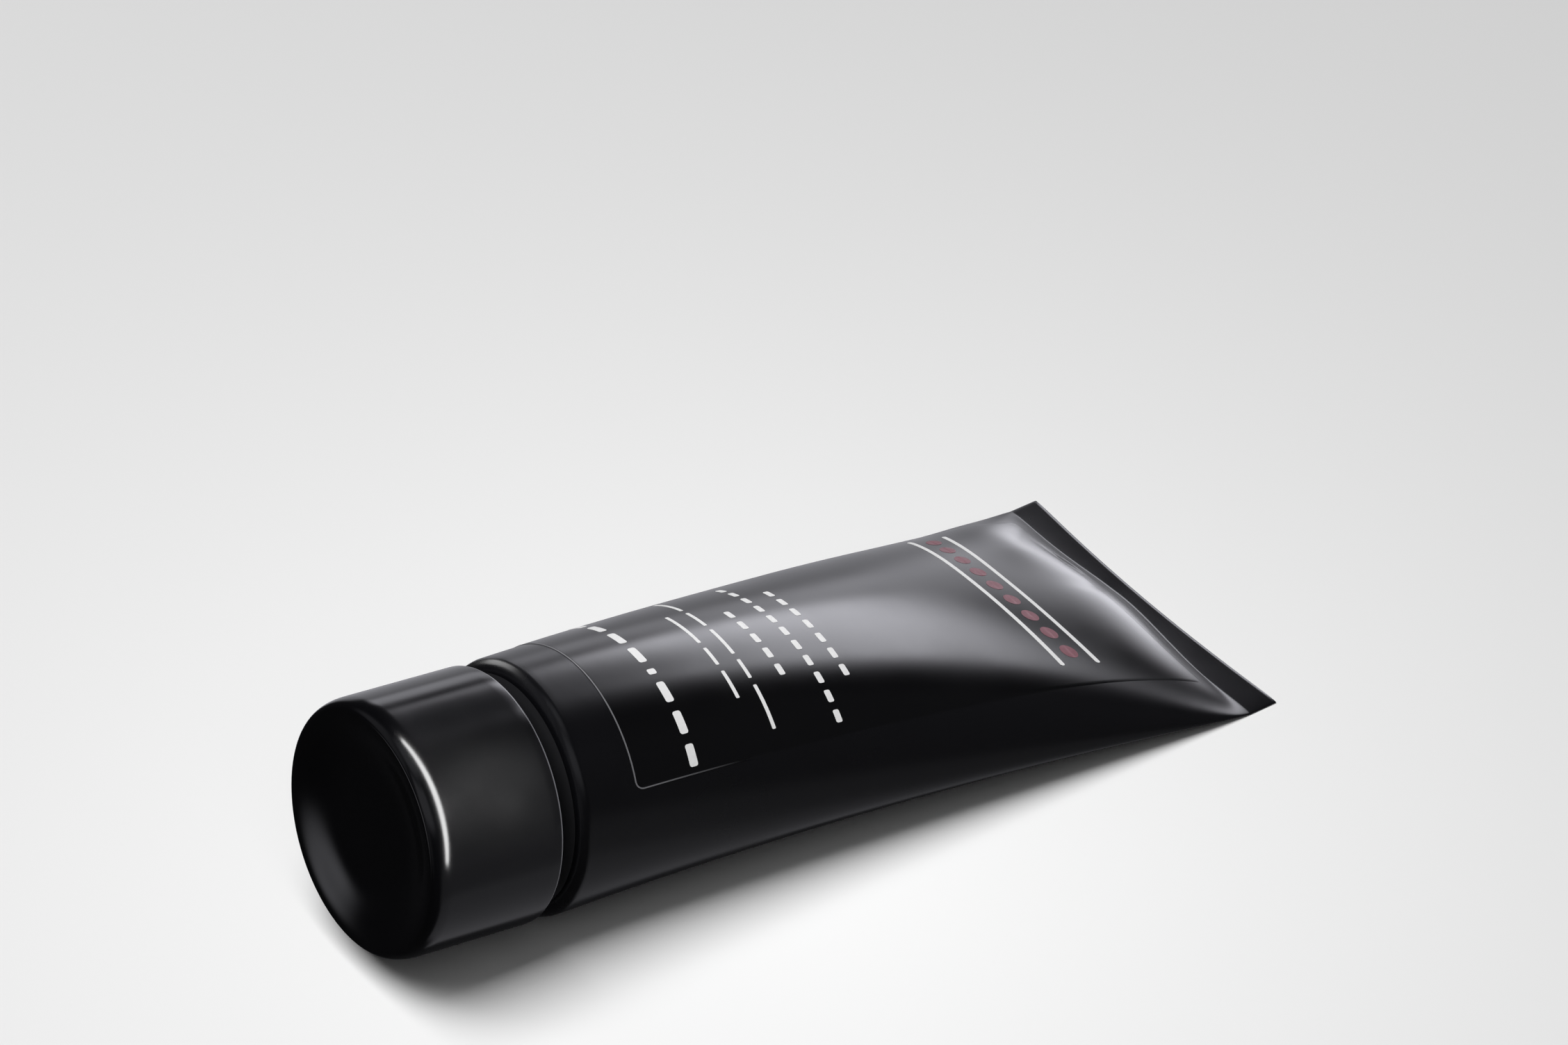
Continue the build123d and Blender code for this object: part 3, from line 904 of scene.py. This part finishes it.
def add_floor():
    mesh = bpy.data.meshes.new("floor")
    angles = np.linspace(0, 2 * pi, FLOOR_POINTS, endpoint=False)
    rim = [(FLOOR_RADIUS * cos(a), FLOOR_RADIUS * sin(a), 0) for a in angles]
    mesh.from_pydata(rim, [], [tuple(range(FLOOR_POINTS))])
    floor = bpy.data.objects.new("floor", mesh)
    bpy.context.scene.collection.objects.link(floor)
    nodes = Nodes("floor_matte")
    # a white sheet with a painted pool of light: its colour is brightest in front of the object and
    # greyer far from it
    place = nodes.add("ShaderNodeMapping")
    place.inputs["Location"].default_value = FLOOR_GLOW_SHIFT
    place.inputs["Scale"].default_value = (FLOOR_GLOW_SCALE,) * 3
    nodes.link(nodes.where, place.inputs["Vector"])
    glow = nodes.add("ShaderNodeTexGradient", gradient_type="QUADRATIC_SPHERE")
    nodes.link(place.outputs["Vector"], glow.inputs["Vector"])
    nodes.colours(nodes.spread(glow.outputs["Fac"], 0, 1, 0, 1), FLOOR_FAR, FLOOR_NEAR)
    nodes.set("Specular IOR Level", 0.0)
    nodes.set("Roughness", 1.0)
    mesh.materials.append(nodes.material)
    floor.visible_glossy = False


class Sky:
    """The studio that the glossy surfaces reflect: soft panels in a dark room."""

    def __init__(self):
        world = bpy.data.worlds.new("studio")
        bpy.context.scene.world = world
        world.use_nodes = True
        self.tree = world.node_tree
        self.tree.nodes.clear()
        where = self.tree.nodes.new("ShaderNodeTexCoord").outputs["Generated"]
        split = self.tree.nodes.new("ShaderNodeSeparateXYZ")
        self.tree.links.new(where, split.inputs[0])
        x, y, z = split.outputs
        self.azimuth = self.math("MULTIPLY", self.math("ARCTAN2", y, x), 180 / pi)
        self.elevation = self.math("MULTIPLY", self.math("ARCSINE", z), 180 / pi)
        self.total = None
        self.world = world

    def math(self, kind, a, b=None):
        node = self.tree.nodes.new("ShaderNodeMath")
        node.operation = kind
        for socket, value in zip(node.inputs, (a, b)):
            if value is None:
                continue
            if isinstance(value, (int, float)):
                socket.default_value = value
            else:
                self.tree.links.new(value, socket)
        return node.outputs[0]

    def window(self, away, half, soft):
        """1 where `away` is under half, falling softly to 0 beyond it."""
        node = self.tree.nodes.new("ShaderNodeMapRange")
        node.interpolation_type = "SMOOTHSTEP"
        node.inputs["From Min"].default_value = half - soft
        node.inputs["From Max"].default_value = half + soft
        node.inputs["To Min"].default_value = 1
        node.inputs["To Max"].default_value = 0
        self.tree.links.new(self.math("ABSOLUTE", away), node.inputs["Value"])
        return node.outputs["Result"]

    def panel(self, centre, size, radiance, soft, turn):
        """A soft-edged panel in the reflections: angles in degrees, turned about its centre."""
        across = self.math("SUBTRACT", self.azimuth, centre[0])
        upwards = self.math("SUBTRACT", self.elevation, centre[1])
        c, t = cos(radians(turn)), sin(radians(turn))
        across_c, across_t = (self.math("MULTIPLY", across, part) for part in (c, t))
        upwards_c, upwards_t = (self.math("MULTIPLY", upwards, part) for part in (c, t))
        wide = self.window(self.math("ADD", across_c, upwards_t), size[0] / 2, soft)
        tall = self.window(self.math("SUBTRACT", upwards_c, across_t), size[1] / 2, soft)
        light = self.math("MULTIPLY", self.math("MULTIPLY", wide, tall), radiance)
        self.total = light if self.total is None else self.math("ADD", self.total, light)

    def finish(self):
        """Tint the reflections and show the camera a plain pale backdrop."""
        colour = self.tree.nodes.new("ShaderNodeCombineColor")
        for socket, share in zip(colour.inputs, REFLECTION_TINT):
            self.tree.links.new(self.math("MULTIPLY", self.total, share), socket)
        studio = self.tree.nodes.new("ShaderNodeBackground")
        self.tree.links.new(colour.outputs[0], studio.inputs["Color"])
        plain = self.tree.nodes.new("ShaderNodeBackground")
        plain.inputs["Color"].default_value = (BACKDROP, BACKDROP, BACKDROP, 1)
        ray = self.tree.nodes.new("ShaderNodeLightPath")
        mix = self.tree.nodes.new("ShaderNodeMixShader")
        self.tree.links.new(ray.outputs["Is Camera Ray"], mix.inputs[0])
        self.tree.links.new(studio.outputs[0], mix.inputs[1])
        self.tree.links.new(plain.outputs[0], mix.inputs[2])
        output = self.tree.nodes.new("ShaderNodeOutputWorld")
        self.tree.links.new(mix.outputs[0], output.inputs["Surface"])
        self.world.cycles_visibility.diffuse = False


def add_studio():
    sky = Sky()
    for panel in PANELS:
        sky.panel(*panel)
    sky.finish()


def add_lamp(name, place, target, size, watts, upright=(0, 0, 1)):
    """An area lamp that looks at the target, with its second side turned towards `upright`."""
    light = bpy.data.lights.new(name, "AREA")
    light.shape = "RECTANGLE"
    light.size, light.size_y = size
    light.energy = watts
    lamp = bpy.data.objects.new(name, light)
    bpy.context.scene.collection.objects.link(lamp)
    back = (Vector(place) - Vector(target)).normalized()
    right = Vector(upright).cross(back).normalized()
    turn = Matrix((right, back.cross(right), back)).transposed()
    lamp.matrix_world = Matrix.Translation(place) @ turn.to_4x4()
    lamp.visible_camera = False
    return lamp


def light_only(lamp, names):
    """Let a lamp light nothing but these pieces."""
    lit = bpy.data.collections.new("lit_by_" + lamp.name)
    for name in names:
        lit.objects.link(bpy.data.objects[name])
    lamp.light_linking.receiver_collection = lit


def add_lamps():
    for name, place, side, watts in LAMPS:
        lamp = add_lamp(name, place, (0, 0, 0), (side, side), watts, (0.1, 1, 0))
        lamp.visible_glossy = False
    # a strip light at the right, which only the cap's rounded rim catches
    along = Vector(STRIP_ALONG)
    place = tube.origin + Vector(STRIP_WAY) * STRIP_NEARNESS + along * STRIP_SHIFT
    strip = add_lamp("lamp_strip", place, tube.origin, STRIP_SIZE, STRIP_WATTS, along)
    light_only(strip, ["cap_outer"])
    # a soft square far behind the shoulder, for the sheen of the sleeve's lip and far side
    place = Vector(tube.place(LIP_LAMP_MM, 0, 0)) + Vector(LIP_LAMP_WAY) * LIP_LAMP_DISTANCE
    lip = add_lamp("lamp_lip", place, tube.origin, LIP_LAMP_SIZE, LIP_LAMP_WATTS)
    light_only(lip, ["tube_sleeve", "label_front"])


def add_camera():
    """Looks at a point just above the object, from the cap's side and above."""
    azimuth, fall = radians(CAMERA_AZIMUTH), radians(CAMERA_FALL)
    forward = Vector((cos(fall) * cos(azimuth), cos(fall) * sin(azimuth), -sin(fall)))
    right = Vector((sin(azimuth), -cos(azimuth), 0))
    up = right.cross(forward)
    low, high = cad_box
    target = (low + high) / 2 + right * CAMERA_SHIFT[0] + up * CAMERA_SHIFT[1]
    data = bpy.data.cameras.new("camera")
    data.sensor_width = CAMERA_SENSOR_MM
    data.lens = CAMERA_LENS_MM
    data.clip_start, data.clip_end = CAMERA_CLIP
    camera = bpy.data.objects.new("camera", data)
    bpy.context.scene.collection.objects.link(camera)
    camera.location = target - forward * CAMERA_DISTANCE
    turn = Matrix((right, up, -forward)).transposed()
    camera.rotation_euler = turn.to_euler()
    bpy.context.scene.camera = camera


add_floor()
add_studio()
add_lamps()
add_camera()
bpy.context.scene.view_settings.view_transform = "Standard"
